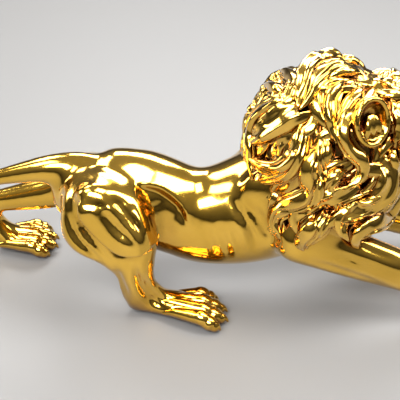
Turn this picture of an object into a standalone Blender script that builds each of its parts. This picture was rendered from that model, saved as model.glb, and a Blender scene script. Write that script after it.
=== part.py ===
"""Gilded lion figurine on the prowl: one casting, head towards +X, standing on its four paws at z = 0.

Everything is laid out in units, each a share of the figure's own length, with the middle of the body
at y = 0 and the lion's right side towards -Y. The masses are lofts and ellipsoids, fused into one body
and softened. The locks of the mane are laid over egg-shaped cores, where the sight lines of a viewer at the
lion's right meet them, and mirrored to its left.
"""

import math

import bmesh
import bpy
import numpy as np
from mathutils import Matrix

LENGTH = 0.379  # tail tip to fore claws, metres
UNITS_LONG = 632.0
UNIT = LENGTH / UNITS_LONG

FUSE_VOXEL = 2.4  # units, grid that fuses the masses
SOFTENING_ROUNDS = 10
MOST_TRIANGLES = 9400
CAP_ANGLES = (math.radians(30), math.radians(60))

RUMP = -117.0  # along X, where the tail starts
TAIL_REACH = 205.0  # from the rump to the tail's tip, along X
ELBOW = 92.0  # along X
FORELEG_REACH = 172.0  # from the elbow to the ball of the right forepaw, along X
LEFT_STRIDE = 18.0  # how far the left forepaw is ahead of the right one
MANE_HEIGHT = 162.0  # from the ground to the middle of the mane

LOCK_HEIGHT = 1.05  # height of a lock, as a share of its width
LOCK_RIDGE = 1.35  # how far a lock's section is drawn to an edge, 1 being an ellipse
MOST_LIFT = 1.3  # how far a lock's middle stands out, as a share of its half width
UNDER_LOCKS = 100
RUFF_LOCKS = 15
TOE_RADIUS = 8.2
CLAW_RADIUS = 2.6
TOE_DROPS = (0.5, 4.5)  # how fast the middle and the outer toes sink towards the wrist
EYE_RADIUS = 5.6
TUFT_RADIUS = 11.0

EYE_LEVEL = math.radians(33)  # how far the viewer looks down
EYE_DISTANCE = 900.0
EYE_TARGET = np.array((0.0, 0.0, MANE_HEIGHT - 60))
VIEW_MIDDLE = 200.0  # across and down the view, in view places
VIEW_SCALE = 900.0  # view places to a unit at a distance of one unit

MANE_CENTRE = np.array((119.0, 0.0, MANE_HEIGHT))
MANE_CORE = np.array((67.0, 63.0, 75.0))
MANE_REACH_AHEAD = 82.0  # the core reaches further ahead than back
MANE_DEPTH_BELOW = 88.0  # and further down than up
APRON_CENTRE = np.array((120.0, -38.0, MANE_HEIGHT - 50))  # where the mane hangs over the right shoulder
APRON_CORE = np.array((46.0, 31.0, 35.0))
CROWN_CENTRE = np.array((170.0, 0.0, MANE_HEIGHT + 30))  # hair over the skull
CROWN_CORE = np.array((40.0, 44.0, 36.0))
FAR_LIFT = 6.0  # the most that a lock of the left side stands out
MANE_BACK = 66.0  # along X, the mane's edge on the shoulders at the height of its middle
MANE_BACK_SLOPE = 0.3

HEAD_CENTRE = (176.0, 0.0, MANE_HEIGHT + 26)
HEAD_PITCH = math.radians(8)
EAR_FACING = (0.50, 0.82, 0.26)
EAR_PLACES = {-1: (149.0, -53.0, MANE_HEIGHT + 57), 1: (144.0, 47.0, MANE_HEIGHT + 53)}

GOLD = (0.95, 0.62, 0.14, 1.0)


def curve_through(rows, steps):
    """Catmull-Rom curve through the rows, steps samples to a span, all columns alike."""
    rows = np.array(rows, float)
    padded = np.vstack((2 * rows[0] - rows[1], rows, 2 * rows[-1] - rows[-2]))
    out = []
    for i in range(len(rows) - 1):
        a, b, c, d = padded[i : i + 4]
        square = 2 * a - 5 * b + 4 * c - d
        cube = 3 * b - a - 3 * c + d
        for t in np.linspace(0, 1, steps, endpoint=False):
            out.append(0.5 * (2 * b + (c - a) * t + square * t**2 + cube * t**3))
    out.append(rows[-1])
    return np.array(out)


def unit_rows(vectors):
    return vectors / np.maximum(np.linalg.norm(vectors, axis=1, keepdims=True), 1e-9)


class Shell:
    """Gathers closed shells, which are fused into one body later."""

    def __init__(self):
        self.points = []
        self.faces = []
        self.count = 0

    def add(self, points, faces):
        self.points.append(np.asarray(points, float))
        self.faces.extend([tuple(i + self.count for i in face) for face in faces])
        self.count += len(points)

    def tube(self, rings, first_pole, last_pole):
        """Closed tube through rings of places, each ring with as many."""
        sides = len(rings[0])
        points = np.vstack([np.array([first_pole]), *rings, np.array([last_pole])])
        faces = [(0, 1 + (k + 1) % sides, 1 + k) for k in range(sides)]
        for ring in range(len(rings) - 1):
            a = 1 + ring * sides
            for k in range(sides):
                n = (k + 1) % sides
                faces.append((a + k, a + n, a + sides + n, a + sides + k))
        a = 1 + (len(rings) - 1) * sides
        tip = len(points) - 1
        faces.extend([(a + k, a + (k + 1) % sides, tip) for k in range(sides)])
        self.add(points, faces)

    def sweep(self, centres, across, over, half_widths, half_heights, sides=16, ridge=1.0):
        """Closed tube with rounded ends. A ridge over 1 draws its elliptical sections to an edge."""

        def cap(i, beyond):
            """Rings that round off the end at station i, from the tube outwards, and the end's pole."""
            outward = unit_rows(np.array([centres[i] - centres[beyond]]))[0]
            reach = min(half_widths[i], half_heights[i])
            closing = []
            for angle in CAP_ANGLES:
                shrink = math.cos(angle)
                middle = centres[i] + outward * reach * math.sin(angle)
                closing.append((middle, i, half_widths[i] * shrink, half_heights[i] * shrink))
            return closing, centres[i] + outward * reach

        start, first_pole = cap(0, 1)
        end, last_pole = cap(-1, -2)
        stations = start[::-1]
        for i, centre in enumerate(centres):
            stations.append((centre, i, half_widths[i], half_heights[i]))
        stations += end
        turn = np.linspace(0, 2 * math.pi, sides, endpoint=False)
        flat = np.sign(np.cos(turn)) * np.abs(np.cos(turn)) ** ridge
        tall = np.sign(np.sin(turn)) * np.abs(np.sin(turn)) ** ridge
        rings = []
        for centre, i, wide, high in stations:
            rings.append(centre + np.outer(flat * wide, across[i]) + np.outer(tall * high, over[i]))
        self.tube(rings, first_pole, last_pole)

    def limb(self, stations, steps=5, sides=16):
        """Loft through stations (x, y, z, half width along Y, half height in the XZ plane)."""
        rows = curve_through(stations, steps)
        centres = rows[:, :3]
        along = unit_rows(np.gradient(centres, axis=0))
        side = np.tile((0.0, 1.0, 0.0), (len(rows), 1))
        across = unit_rows(side - along * np.sum(side * along, axis=1, keepdims=True))
        over = np.cross(along, across)
        self.sweep(centres, across, over, rows[:, 3], rows[:, 4], sides)

    def mass(self, centre, radii, pitch=0, yaw=0, roll=0):
        """Ellipsoid. Pitch tips its front down, in degrees."""
        mesh = bmesh.new()
        turn = (
            Matrix.Rotation(math.radians(yaw), 4, "Z")
            @ Matrix.Rotation(math.radians(pitch), 4, "Y")
            @ Matrix.Rotation(math.radians(roll), 4, "X")
        )
        place = Matrix.Translation(centre) @ turn @ Matrix.Diagonal((*radii, 1))
        bmesh.ops.create_icosphere(mesh, subdivisions=3, radius=1, matrix=place)
        mesh.verts.index_update()
        self.add([v.co[:] for v in mesh.verts], [tuple(v.index for v in f.verts) for f in mesh.faces])
        mesh.free()


def torso(shell):
    shell.limb(
        [
            (-118, 0, 113, 30, 34),
            (-100, 0, 108, 41, 49),
            (-80, 0, 106, 43, 52),
            (-60, 0, 103.5, 43, 52),
            (-40, 0, 98, 42, 49.5),
            (-20, 0, 90, 41, 48),
            (0, 0, 84, 43, 51),
            (20, 0, 84.5, 47, 53),
            (40, 0, 89, 50, 56),
            (60, 0, 96, 51, 58),
            (85, 0, 107, 50, 58),
            (112, 0, 118, 46, 54),
            (138, 0, 128, 36, 46),
        ],
        sides=32,
    )
    neck = [
        (92, 0, MANE_HEIGHT - 22, 46, 46),
        (122, 0, MANE_HEIGHT, 44, 46),
        (150, 0, MANE_HEIGHT + 18, 38, 40),
    ]
    shell.limb(neck, sides=24)


def tail(shell):
    """Each row is a share of the tail's reach, a place beside the middle, a height and two half widths."""

    def stretch(rows):
        shell.limb([(RUMP - TAIL_REACH * share, *rest) for share, *rest in rows])

    stretch(
        [
            (-0.122, 0, 130, 19, 19),
            (0, 0, 141, 16.5, 16),
            (0.146, 0, 139, 15, 15),
            (0.268, 2, 133.5, 12.5, 12.5),
            (0.39, 4, 127, 10, 10),
            (0.527, 8, 117, 8.8, 8.8),
            (0.659, 11, 104, 8, 8),
            (0.776, 11, 93, 7.6, 7.6),
            (0.883, 8, 90, 8, 8),
        ]
    )
    stretch(
        [
            (0.844, 9, 90.5, 8, 8),
            (0.907, 7, 92, TUFT_RADIUS, TUFT_RADIUS),
            (0.966, 5, 98, 0.8 * TUFT_RADIUS, 0.8 * TUFT_RADIUS),
            (1.0, 4, 107, 3.5, 3.5),
        ]
    )


def near_thigh(shell):
    shell.limb(
        [
            (-106, -24, 118, 27, 36),
            (-92, -36, 118, 27, 39),
            (-76, -48, 112, 25, 34),
            (-62, -56, 103, 21, 25),
            (-54, -58, 94, 17, 17),
        ]
    )
    shell.mass((-83, -52, 119), (43, 18, 26), pitch=46)
    shell.limb(
        [
            (-117, -32, 124, 18, 16),
            (-119, -40, 111, 19, 16),
            (-118, -46, 97, 18, 16),
            (-111, -50, 88, 17, 15),
            (-97, -52, 81, 16, 15),
            (-82, -53, 70, 15, 15),
            (-69, -53, 54, 14, 15),
        ]
    )
    shell.mass((-92, -44, 96), (26, 20, 24), pitch=30)
    shell.mass((-80, -53, 68), (16, 16, 16))


def near_shank(shell):
    shell.limb(
        [
            (-55, -58, 94, 16, 16),
            (-60, -57, 67, 15, 18),
            (-63, -54, 44, 14, 20),
            (-62, -50, 24, 13, 18),
            (-61, -47, 11, 11, 13),
        ]
    )
    shell.limb(
        [
            (-66, -46, 9, 10, 9),
            (-46, -48, 12, 14, 13),
            (-30, -51, 12, 17, 13),
            (-13, -55, 9.5, 20, 13),
            (-1, -57, 8, 20, 11),
        ]
    )


def far_hind_leg(shell):
    shell.limb(
        [
            (-100, 24, 110, 27, 32),
            (-112, 38, 103, 27, 31),
            (-126, 48, 95, 23, 27),
            (-138, 53, 86, 18, 22),
        ]
    )
    shell.limb(
        [
            (-130, 51, 92, 18, 20),
            (-148, 55, 80, 18, 20),
            (-168, 57, 74, 17, 19),
            (-198, 60, 66, 14, 16),
            (-222, 62, 61, 11, 13.5),
            (-234, 62, 58, 10, 12),
        ]
    )
    shell.limb(
        [
            (-232, 62, 58, 10, 12),
            (-229, 62, 40, 12, 14),
            (-218, 62, 21, 15, 14),
            (-202, 63, 11, 20, 12),
            (-186, 63, 9, 22, 12),
        ]
    )


def foreleg(shell, side, stride):
    """Elbow tucked under the mane, forearm stretched forward and down. stride moves the paw along X."""
    y = 51 * side
    shell.mass((72, 32 * side, 112), (34, 17, 50), pitch=-24)
    shell.mass((116, 1.16 * y, 88), (36, 14, 20), pitch=18)
    shell.limb([(128, 38 * side, 136, 22, 28), (118, 46 * side, 112, 23, 30), (98, 0.98 * y, 91, 22, 26)])
    rows = [
        (0, 91, 22, 25),
        (0.14, 85.5, 23, 27),
        (0.36, 69.5, 21, 25),
        (0.61, 52, 18, 22),
        (0.78, 36, 16.5, 17),
        (0.878, 22, 17, 16),
        (0.953, 12, 20, 13),
        (1, 9, 22, 12),
    ]
    shell.limb([(ELBOW + (FORELEG_REACH + stride) * share, y, *rest) for share, *rest in rows])


TOE = (
    (-1.1, 17, 0.4),
    (-0.6, 17.5, 0.7),
    (0, 15, 0.9),
    (0.38, 14, 1.0),
    (0.6, 11, 0.94),
    (0.78, 9, 0.96),
    (0.92, 7, 0.8),
)
CLAW = ((0.82, 10, 1.2), (0.98, 9.5, 1.15), (1.1, 7, 0.95), (1.18, 4, 0.5))


def toes(shell, ball, spread, lean):
    """Four toes and their claws on a paw whose ball is at (x, y). lean turns the paw outward, in degrees.

    Each row of a toe or a claw is a share of the toe's length, a height and a share of its radius.
    """
    for place, forward in zip((-1.5, -0.5, 0.5, 1.5), (-6, 0, -1, -8)):
        turn = math.radians(lean + 7 * place)
        direction = np.array((math.cos(turn), math.sin(turn)))
        start = np.array(ball) + np.array((-6.0, place * spread))
        length = 30 + forward
        for rows, radius, sides in ((TOE, TOE_RADIUS, 12), (CLAW, CLAW_RADIUS, 8)):
            stations = []
            for share, height, size in rows:
                x, y = start + direction * length * share
                z = height - max(0.0, 0.4 - share) * TOE_DROPS[abs(place) > 1]
                stations.append((x, y, z, radius * size, radius * size))
            shell.limb(stations, steps=4, sides=sides)


def paws(shell):
    ball = ELBOW + FORELEG_REACH - 2
    toes(shell, (-1, -57), 11.5, -9)
    toes(shell, (-187, 63), 12.5, 0)
    toes(shell, (ball, -51), 12.0, -3)
    toes(shell, (ball + LEFT_STRIDE, 51), 12.0, 3)


def head_point(forward, side, up):
    """World place of a point of the head, given forward of, beside and above the middle of the skull."""
    x = forward * math.cos(HEAD_PITCH) + up * math.sin(HEAD_PITCH)
    z = up * math.cos(HEAD_PITCH) - forward * math.sin(HEAD_PITCH)
    return (HEAD_CENTRE[0] + x, HEAD_CENTRE[1] + side, HEAD_CENTRE[2] + z)


def head(shell):
    pitch = math.degrees(HEAD_PITCH)

    def loft(rows, sides=20):
        shell.limb([(*head_point(*row[:3]), *row[3:]) for row in rows], sides=sides)

    loft([(-20, 0, 4, 41, 39), (5, 0, 6, 42, 37), (26, 0, 3, 37, 31)])
    loft([(10, 0, 24, 27, 14), (36, 0, 19, 17, 12), (58, 0, 10, 13.5, 11), (74, 0, 5, 12.5, 9)])
    loft([(24, 0, -6, 33, 26), (50, 0, -5, 29, 21), (64, 0, -5, 25, 17)])
    loft([(0, 0, -25, 34, 17), (34, 0, -28, 27, 14), (56, 0, -28, 18, 11)])
    for side in (-1, 1):
        shell.mass(head_point(64, 12.5 * side, -5), (17, 14.5, 16), pitch)
        shell.mass(head_point(22, 29 * side, 0), (24, 14, 18), pitch, yaw=-18 * side)
        shell.mass(head_point(34, 17 * side, 24), (14, 11, 6.5), pitch + 18, yaw=-22 * side)
        shell.mass(head_point(39, 19 * side, 15), (EYE_RADIUS,) * 3)
    shell.mass(head_point(79, 0, 9), (6, 11.5, 7), pitch)
    shell.mass(head_point(62, 0, -28), (15, 15, 11), pitch)


EAR_RINGS = ((8, -14), (15, -10), (20, -3), (22, 4), (21, 7), (18, 7.5), (15.5, 3), (11, -1), (6, -2.5))


def ears(shell):
    """Round cups that face forward and out. Each ring is a radius and how far it lies ahead."""
    turn = np.linspace(0, 2 * math.pi, 24, endpoint=False)
    for side in (-1, 1):
        base = np.array(EAR_PLACES[side])
        facing = unit_rows(np.array([EAR_FACING]) * (1, side, 1))[0]
        sideways = unit_rows(np.cross((0.0, 0.0, 1.0), facing)[None])[0]
        upright = np.cross(facing, sideways)
        circle = np.outer(np.cos(turn), sideways) * 0.92 + np.outer(np.sin(turn), upright) * 1.08
        rings = [base + facing * ahead + circle * radius for radius, ahead in EAR_RINGS]
        shell.tube(rings, base + facing * (EAR_RINGS[0][1] - 1), base + facing * (EAR_RINGS[-1][1] - 0.5))


def core_radii(offset):
    """The core's radii on the side of its middle where each offset points."""
    radii = np.tile(MANE_CORE, (len(offset), 1))
    radii[offset[:, 0] > 0, 0] = MANE_REACH_AHEAD
    radii[offset[:, 2] < 0, 2] = MANE_DEPTH_BELOW
    return radii


def on_core(ball, lift):
    """Place above the mane's core and its outward direction there, for a point of the unit ball."""
    radii = core_radii(ball[None])[0]
    normal = unit_rows((ball / radii)[None])[0]
    return MANE_CENTRE + ball * radii + normal * lift, normal


def on_mane(view_across, view_down, side, lift):
    """Where the sight line of a view place meets the mane's cores raised by lift, and outward there."""
    back = np.array((0.0, -math.cos(EYE_LEVEL), math.sin(EYE_LEVEL)))
    upward = np.array((0.0, math.sin(EYE_LEVEL), math.cos(EYE_LEVEL)))
    ray = np.array((view_across - VIEW_MIDDLE, 0.0, 0.0)) + upward * (VIEW_MIDDLE - view_down)
    ray -= back * VIEW_SCALE
    depths = np.linspace(0.75, 1.15, 241)[:, None] * EYE_DISTANCE
    track = EYE_TARGET + back * EYE_DISTANCE + ray * depths / VIEW_SCALE
    best = None
    for middle, core in ((MANE_CENTRE, None), (APRON_CENTRE, APRON_CORE), (CROWN_CENTRE, CROWN_CORE)):
        offset = track - middle
        radii = core_radii(offset) if core is None else np.tile(core, (len(offset), 1))
        ball = offset / (radii + lift)
        height = np.linalg.norm(ball, axis=1)
        i = int(np.argmin(height))
        share = 0.0
        missed = height[i]
        if missed < 1:
            i = int(np.argmax(height < 1))
            share = (height[i - 1] - 1) / (height[i - 1] - height[i])
            missed = 1.0
        j = max(i - 1, 0)
        met = unit_rows((ball[j] + (ball[i] - ball[j]) * share if missed == 1.0 else ball[i])[None])[0]
        rank = (missed, j + share)
        if best is None or rank < best[0]:
            wide = radii[i] + lift
            best = (rank, middle + met * wide, unit_rows((met / wide)[None])[0])
    _, place, normal = best
    return place * (1, -side, 1), normal * (1, -side, 1)


LOCKS = (
    # half width, lift, then the view places that the lock runs through, from root to tip
    (10.0, 13, (358, 68), (346, 60), (330, 57), (314, 62), (305, 75), (302, 90), (298, 106)),
    (9.5, 13, (370, 78), (352, 72), (332, 71), (318, 79), (311, 94), (301, 108)),
    (5.5, 12, (297, 74), (294, 92), (276, 103), (257, 115), (250, 132), (250, 156), (252, 180)),
    (12.0, 5, (300, 88), (290, 76), (276, 77), (264, 86), (253, 95)),
    (9.0, 2, (284, 86), (270, 98), (260, 108), (252, 118)),
    (7.0, 9, (306, 96), (297, 82), (287, 74), (277, 71), (268, 78)),
    (7.0, 9, (290, 98), (276, 88), (263, 87), (254, 93), (252, 104)),
    (6.5, 9, (268, 104), (254, 108), (245, 117), (240, 130), (239, 146)),
    (9.0, 4, (262, 112), (247, 120), (242, 135), (240, 150)),
    (9.5, 4, (260, 136), (247, 148), (240, 162), (238, 178)),
    (7.5, 9, (353, 77), (338, 86), (330, 101), (331, 120), (336, 141)),
    (7.5, 10, (361, 79), (357, 97), (348, 113), (340, 126), (336, 142)),
    (10.0, 5, (350, 76), (328, 82), (316, 96), (319, 112), (331, 130)),
    (7.0, 12, (366, 76), (371, 92), (360, 109), (347, 120), (344, 136), (352, 151), (364, 165), (358, 180)),
    (12.5, 8, (376, 150), (386, 171), (382, 192), (364, 206), (340, 216), (324, 228)),
    (11.0, 8, (331, 138), (315, 158), (309, 176), (317, 190), (304, 201), (284, 207), (273, 220), (282, 240)),
    (15.0, 6, (316, 108), (287, 118), (264, 133), (246, 144)),
    (10.5, 5, (314, 114), (301, 136), (297, 157), (286, 172), (262, 179), (251, 192)),
    (6.0, 11, (294, 136), (294, 155), (280, 168), (262, 167), (248, 158)),
    (10.5, 6, (364, 176), (344, 192), (320, 196), (304, 206), (294, 218), (298, 234)),
    (11.0, 7, (396, 188), (399, 207), (381, 220), (361, 228), (354, 239), (364, 250)),
    (9.5, 9, (384, 178), (378, 195), (360, 206), (343, 213), (339, 226), (348, 240)),
    (10.5, 6, (328, 204), (322, 222), (307, 234), (302, 246), (312, 254)),
    (11.0, 5, (280, 186), (271, 205), (273, 224), (287, 242)),
    (10.0, 5, (388, 146), (397, 168), (407, 186)),
    (10.0, 3, (322, 128), (325, 148), (317, 168), (327, 182), (338, 200)),
    (9.5, 3, (266, 176), (254, 190), (258, 206), (268, 216)),
    (10.0, 4, (350, 164), (334, 176), (327, 192), (338, 208), (331, 226)),
    (9.0, 3, (290, 94), (270, 106), (262, 120), (270, 132)),
    (5.5, 12, (360, 68), (352, 57), (341, 46)),
    (8.5, 5, (368, 74), (380, 71), (393, 77), (408, 90)),
    (9.0, 5, (374, 84), (390, 86), (404, 98), (412, 116)),
    (9.0, 6, (388, 96), (398, 108), (401, 126), (395, 142)),
    (9.0, 5, (408, 110), (409, 132), (402, 152), (410, 172), (404, 192)),
    (9.0, 4, (420, 130), (422, 156), (414, 178), (420, 200)),
)


def evened(rows, rounds):
    """The rows, each drawn towards its neighbours, with the two ends kept."""
    rows = rows.copy()
    for _ in range(rounds):
        rows[1:-1] = (rows[:-2] + 2 * rows[1:-1] + rows[2:]) / 4
    return rows


def lock(shell, places, normals, half_width, sides=10):
    """One lock: full from a third of its run, thin at its curled tip."""
    places, normals = evened(np.array(places), 3), unit_rows(evened(np.array(normals), 5))
    along = unit_rows(np.gradient(places, axis=0))
    across = unit_rows(np.cross(normals, along))
    over = np.cross(along, across)
    t = np.linspace(0, 1, len(places))
    fullness = np.interp(t, (0, 0.12, 0.4, 0.75, 1), (0.4, 0.8, 1.0, 0.75, 0.2))
    wide = half_width * fullness
    shell.sweep(places, across, over, wide, wide * LOCK_HEIGHT, sides, LOCK_RIDGE)


def drawn_locks(shell):
    for half_width, lift, *run in LOCKS:
        for side in (-1, 1):
            rows = curve_through(run, 5)
            t = np.linspace(0, 1, len(rows))
            lift = min(lift, MOST_LIFT * half_width)
            rises = np.interp(t, (0, 0.25, 0.8, 1), (-4, lift, 0.9 * lift, 1.15 * lift))
            if side == 1:
                rises = np.minimum(rises, FAR_LIFT)
            placed = [on_mane(*row, side, rise) for row, rise in zip(rows, rises)]
            lock(shell, [p for p, _ in placed], [n for _, n in placed], half_width)


def flowing_lock(shell, root, pull, run, sway, waves, half_width, lift):
    """A lock that starts on the core at the direction root, drawn along by pull, and sways as it goes."""
    steps = 16
    ball = unit_rows(np.array([root], float))[0]
    places, normals = [], []
    for i in range(steps + 1):
        t = i / steps
        place, normal = on_core(ball, lift * (0.3 + 0.8 * t))
        places.append(place)
        normals.append(normal)
        flow = np.array(pull) - normal * np.dot(pull, normal)
        flow /= np.linalg.norm(flow)
        angle = sway * math.sin(2 * math.pi * waves * t + 0.6)
        heading = flow * math.cos(angle) + np.cross(normal, flow) * math.sin(angle)
        ball = ball + heading * run / steps / MANE_CORE
        ball /= np.linalg.norm(ball)
    lock(shell, places, normals, half_width)


def flowing_locks(shell):
    """An under layer all over the core, and a ruff around the face."""
    golden = math.pi * (3 - math.sqrt(5))
    for i in range(UNDER_LOCKS):
        rise = 1 - (i + 0.5) * 2 / UNDER_LOCKS
        ring = math.sqrt(1 - rise * rise)
        root = np.array((ring * math.cos(golden * i), ring * math.sin(golden * i), rise))
        if root[0] > 0.62 and rise > -0.45:
            continue
        way = 1 if i % 2 else -1
        lift = 3 if abs(root[1]) < 0.42 or rise < -0.6 else -4
        pull = (-0.6, 0.35 * root[1], -0.9)
        flowing_lock(shell, root, pull, 62 + 9 * (i % 3), 0.8 * way, 1.0, 9.5 + i % 2, lift)
    for i in range(RUFF_LOCKS):
        turn = 2 * math.pi * (i + 0.5) / RUFF_LOCKS
        way = 1 if i % 2 else -1
        outward = (math.sin(turn), math.cos(turn))
        root = (0.8, 0.52 * outward[0], 0.52 * outward[1] + 0.1)
        flowing_lock(shell, root, (-0.6, outward[0], outward[1] - 0.35), 58, 0.6 * way, 1.0, 9.5, 4)


def mane_core(shell):
    ball = bmesh.new()
    bmesh.ops.create_icosphere(ball, subdivisions=4, radius=1)
    ball.verts.index_update()
    places = [on_core(np.array(v.co), 0)[0] for v in ball.verts]
    shell.add(places, [tuple(v.index for v in f.verts) for f in ball.faces])
    ball.free()
    for side in (-1, 1):
        shell.mass(APRON_CENTRE * (1, -side, 1), APRON_CORE)
    shell.mass(CROWN_CENTRE, CROWN_CORE)


def mane(shell):
    mane_core(shell)
    drawn_locks(shell)
    flowing_locks(shell)


def fused(name, shell, voxel):
    """One closed mesh from the overlapping shells."""
    mesh = bpy.data.meshes.new(name)
    mesh.from_pydata(np.vstack(shell.points).tolist(), [], shell.faces)
    body = bpy.data.objects.new(name, mesh)
    bpy.context.scene.collection.objects.link(body)
    remesh = body.modifiers.new("Fuse", "REMESH")
    remesh.mode = "VOXEL"
    remesh.voxel_size = voxel
    return baked(body)


def baked(body):
    """The object with its modifiers worked into its mesh."""
    bpy.context.view_layer.update()
    graph = bpy.context.evaluated_depsgraph_get()
    mesh = bpy.data.meshes.new_from_object(body.evaluated_get(graph))
    old = body.data
    body.modifiers.clear()
    body.data = mesh
    bpy.data.meshes.remove(old)
    return body


def points_of(mesh):
    flat = np.empty(len(mesh.vertices) * 3, np.float32)
    mesh.vertices.foreach_get("co", flat)
    return flat.reshape(-1, 3).astype(float)


def put_points(mesh, points):
    mesh.vertices.foreach_set("co", points.astype(np.float32).ravel())
    mesh.update()


def softened(mesh, rounds, strength):
    """Laplacian smoothing. strength is one value for each point, from 0 to 1."""
    edges = np.empty(len(mesh.edges) * 2, np.int32)
    mesh.edges.foreach_get("vertices", edges)
    a, b = edges.reshape(-1, 2).T
    points = points_of(mesh)
    number = len(points)
    degree = np.bincount(a, minlength=number) + np.bincount(b, minlength=number)
    for _ in range(round(rounds)):
        mean = np.empty_like(points)
        for axis in range(3):
            total = np.bincount(a, points[b, axis], number) + np.bincount(b, points[a, axis], number)
            mean[:, axis] = total / degree
        points += (mean - points) * strength[:, None]
    put_points(mesh, points)


def body_strength(points):
    """Full smoothing on the body, little on the toes, the face and the mane's locks."""
    mirrored = points * (1, -1, 1)
    mane_zone = np.zeros(len(points), bool)
    for places, middle, core, reach in (
        (points, MANE_CENTRE, MANE_CORE, 28),
        (points, APRON_CENTRE, APRON_CORE, 14),
        (mirrored, APRON_CENTRE, APRON_CORE, 14),
        (points, CROWN_CENTRE, CROWN_CORE, 20),
    ):
        mane_zone |= np.sum(((places - middle) / (core + reach)) ** 2, axis=1) < 1
    mane_zone &= points[:, 0] > MANE_BACK - MANE_BACK_SLOPE * (MANE_HEIGHT - points[:, 2])
    strength = np.full(len(points), 0.6)
    strength[points[:, 2] < 22] = 0.25
    strength[mane_zone] = 0.05
    return strength


def cleared_scene():
    for old in list(bpy.data.objects):
        bpy.data.objects.remove(old, do_unlink=True)
    for old in list(bpy.data.collections):
        bpy.data.collections.remove(old)


def gold():
    material = bpy.data.materials.new("gold")
    material.use_nodes = True
    shader = material.node_tree.nodes["Principled BSDF"]
    shader.inputs["Base Color"].default_value = GOLD
    shader.inputs["Metallic"].default_value = 1.0
    shader.inputs["Roughness"].default_value = 0.12
    return material


def lion():
    shell = Shell()
    torso(shell)
    tail(shell)
    near_thigh(shell)
    near_shank(shell)
    far_hind_leg(shell)
    foreleg(shell, -1, 0)
    foreleg(shell, 1, LEFT_STRIDE)
    paws(shell)
    head(shell)
    ears(shell)
    mane(shell)
    body = fused("lion", shell, FUSE_VOXEL)
    softened(body.data, SOFTENING_ROUNDS, body_strength(points_of(body.data)))
    return body


def reduced(body):
    body.data.calc_loop_triangles()
    thin = body.modifiers.new("Reduce", "DECIMATE")
    thin.ratio = MOST_TRIANGLES / len(body.data.loop_triangles)
    return baked(body)


def flat_soles(body, collection):
    """Cuts the paws flat at the ground, through a block that stays as a cutter."""
    low, high = np.array((-400.0, -150.0, -60.0)), np.array((400.0, 150.0, 0.0))
    mesh = bpy.data.meshes.new("ground_cutter")
    block = bmesh.new()
    place = Matrix.Translation((low + high) / 2) @ Matrix.Diagonal((*(high - low), 1))
    bmesh.ops.create_cube(block, size=1, matrix=place)
    block.to_mesh(mesh)
    block.free()
    cutter = bpy.data.objects.new("ground_cutter", mesh)
    cutter.hide_render = True
    cutter.display_type = "WIRE"
    collection.objects.link(cutter)
    cut = body.modifiers.new("Flat soles", "BOOLEAN")
    cut.operation = "DIFFERENCE"
    cut.object = cutter
    return cutter


def main():
    cleared_scene()
    figure = bpy.data.collections.new("lion_figurine")
    cutters = bpy.data.collections.new("cutters")
    for collection in (figure, cutters):
        bpy.context.scene.collection.children.link(collection)
    body = lion()
    reduced(body)
    bpy.context.scene.collection.objects.unlink(body)
    figure.objects.link(body)
    cutter = flat_soles(body, cutters)
    points = points_of(body.data)
    middle = (points.min(axis=0) + points.max(axis=0)) / 2
    middle[2] = 0
    for piece in (body, cutter):
        put_points(piece.data, (points_of(piece.data) - middle) * UNIT)
    body.data.materials.append(gold())
    body.data.shade_smooth()
    bpy.context.view_layer.update()


main()
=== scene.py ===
"""Looks of a gilded lion figurine on the prowl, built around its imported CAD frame.

Lengths are in units, a share of the figure's own length, until put_in_frame scales them to metres.
The forms that the frame has are built again here with a finer skin, carved muscles and single locks.
Picture places are where a form is seen by the camera, in hundredths of a quarter of the frame's width.
"""

import math

import bmesh
import bpy
import numpy as np
from mathutils import Matrix, Vector


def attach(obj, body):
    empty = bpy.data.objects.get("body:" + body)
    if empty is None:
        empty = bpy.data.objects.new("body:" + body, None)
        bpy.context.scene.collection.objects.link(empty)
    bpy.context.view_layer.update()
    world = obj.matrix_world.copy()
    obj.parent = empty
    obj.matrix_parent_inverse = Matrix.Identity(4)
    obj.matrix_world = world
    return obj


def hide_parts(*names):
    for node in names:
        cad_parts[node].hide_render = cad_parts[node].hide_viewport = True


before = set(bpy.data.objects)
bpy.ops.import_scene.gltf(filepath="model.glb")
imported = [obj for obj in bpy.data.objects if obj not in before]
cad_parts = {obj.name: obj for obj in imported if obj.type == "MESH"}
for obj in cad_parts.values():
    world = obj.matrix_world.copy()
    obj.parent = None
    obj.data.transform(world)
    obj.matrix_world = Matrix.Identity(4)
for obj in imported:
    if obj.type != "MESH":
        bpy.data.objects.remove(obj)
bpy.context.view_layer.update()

FIGURE_LENGTH = 0.379  # metres, from the tail's end to the fore claws
FIGURE_UNITS = 632.0  # the same length in units
UNIT = FIGURE_LENGTH / FIGURE_UNITS
SHIFT = np.array((7.39, -2.27, 0.0))  # from the middle of the body to the middle of the frame's box

EYE_LEVEL = math.radians(33)  # how far the camera looks down
EYE_DISTANCE = 900.0
EYE_TARGET = np.array((0.0, 0.0, 102.0))
EYE_BACK = np.array((0.0, -math.cos(EYE_LEVEL), math.sin(EYE_LEVEL)))  # from the lion towards the camera
EYE_UP = np.array((0.0, math.sin(EYE_LEVEL), math.cos(EYE_LEVEL)))
HALF_PICTURE = 200.0  # picture places from the middle to an edge
PICTURE_SCALE = 900.0  # picture places to a unit at a distance of one unit
RAY_REACHES = np.linspace(0.75, 1.15, 241)[:, None]  # where a ray is tried, as shares of the eye's distance

BODY_VOXEL = 1.85
HEAD_VOXEL = 1.0
BODY_ROUNDS = 60  # of smoothing, before the body is carved
SKIN_ROUNDS = 3  # and after
HEAD_ROUNDS = 10

LEFT_STRIDE = 18.0  # how far the left forepaw is ahead of the right one

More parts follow.
